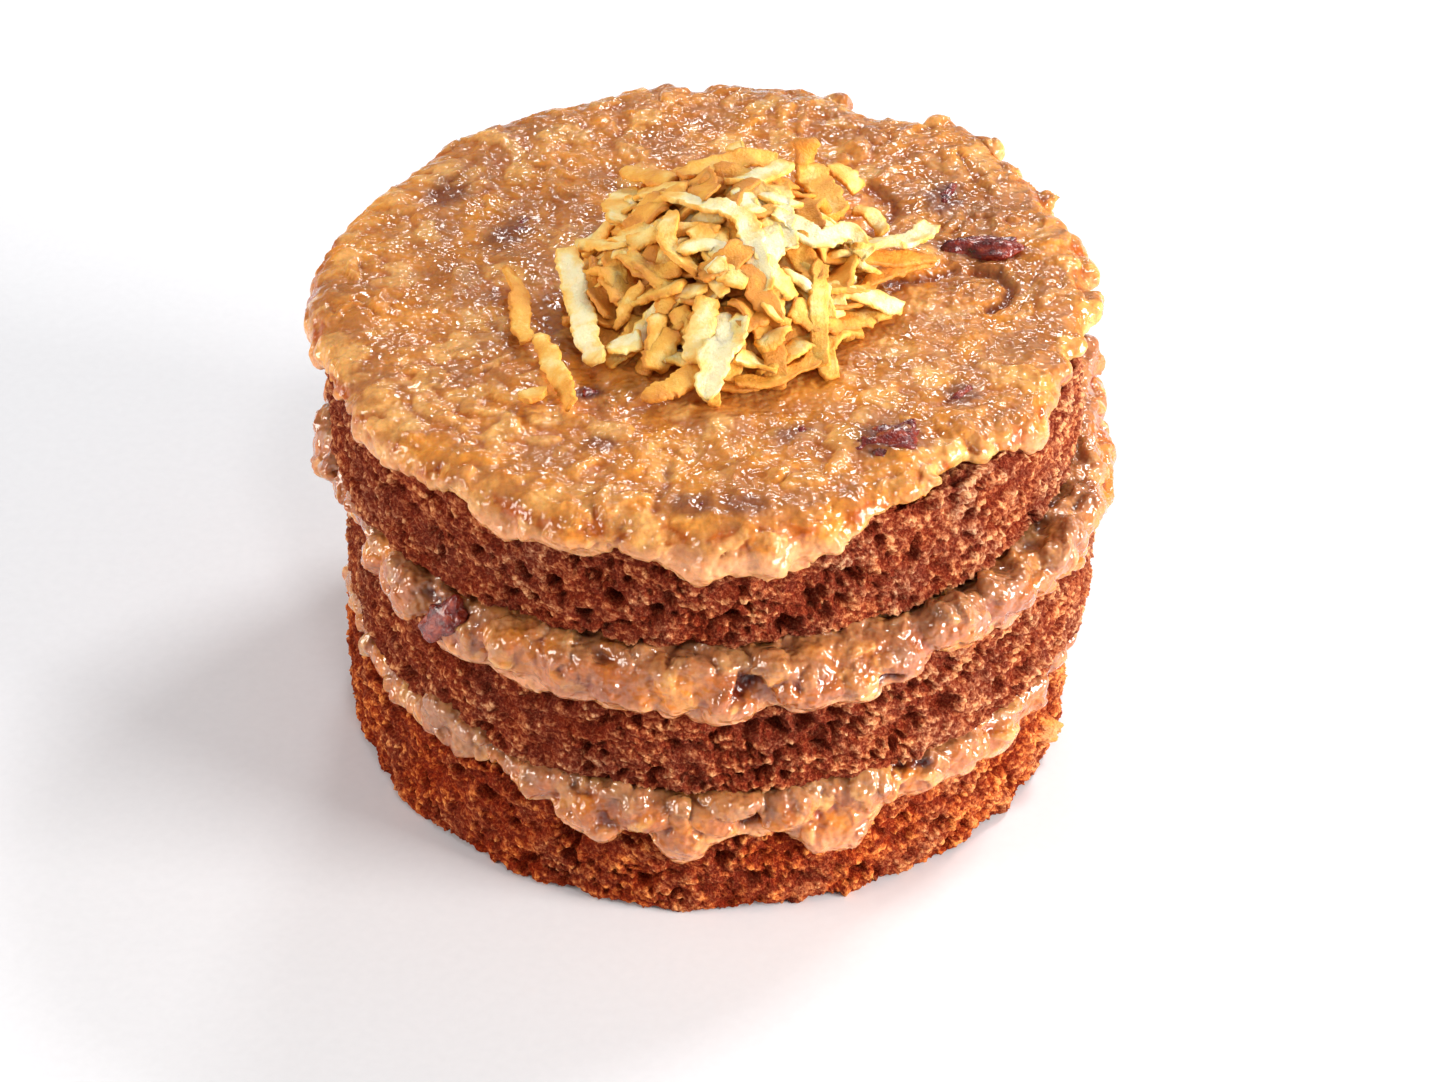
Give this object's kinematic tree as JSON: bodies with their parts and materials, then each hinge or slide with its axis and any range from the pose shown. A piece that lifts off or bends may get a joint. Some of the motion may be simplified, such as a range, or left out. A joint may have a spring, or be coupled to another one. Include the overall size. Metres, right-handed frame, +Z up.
{
  "type": "german chocolate cake",
  "caption": "Small round chocolate layer cake with coconut and pecan filling between the sponges, a frosted top with a drooping rim, and a heap of toasted coconut shreds.",
  "frame": {"origin": "centre of the flat base, on the surface that the cake stands on", "axes": "+Z up; -Y towards the viewer of the picture; +X to the right in the picture"},
  "size_m": [0.1104, 0.1109, 0.0799],
  "materials": {
    "sponge": "dry open crumb, matt",
    "filling": "moist, translucent, glossy",
    "frosting": "cooked caramel frosting, glossy and sugary",
    "toasted_coconut": "dry, toasted, satin"
  },
  "bodies": {
    "root": {"sponge_bottom": "sponge", "filling_lower": "filling", "sponge_middle": "sponge", "filling_upper": "filling", "sponge_top": "sponge", "frosting_top": "frosting", "coconut_heap": "toasted_coconut"}
  },
  "joints": []
}
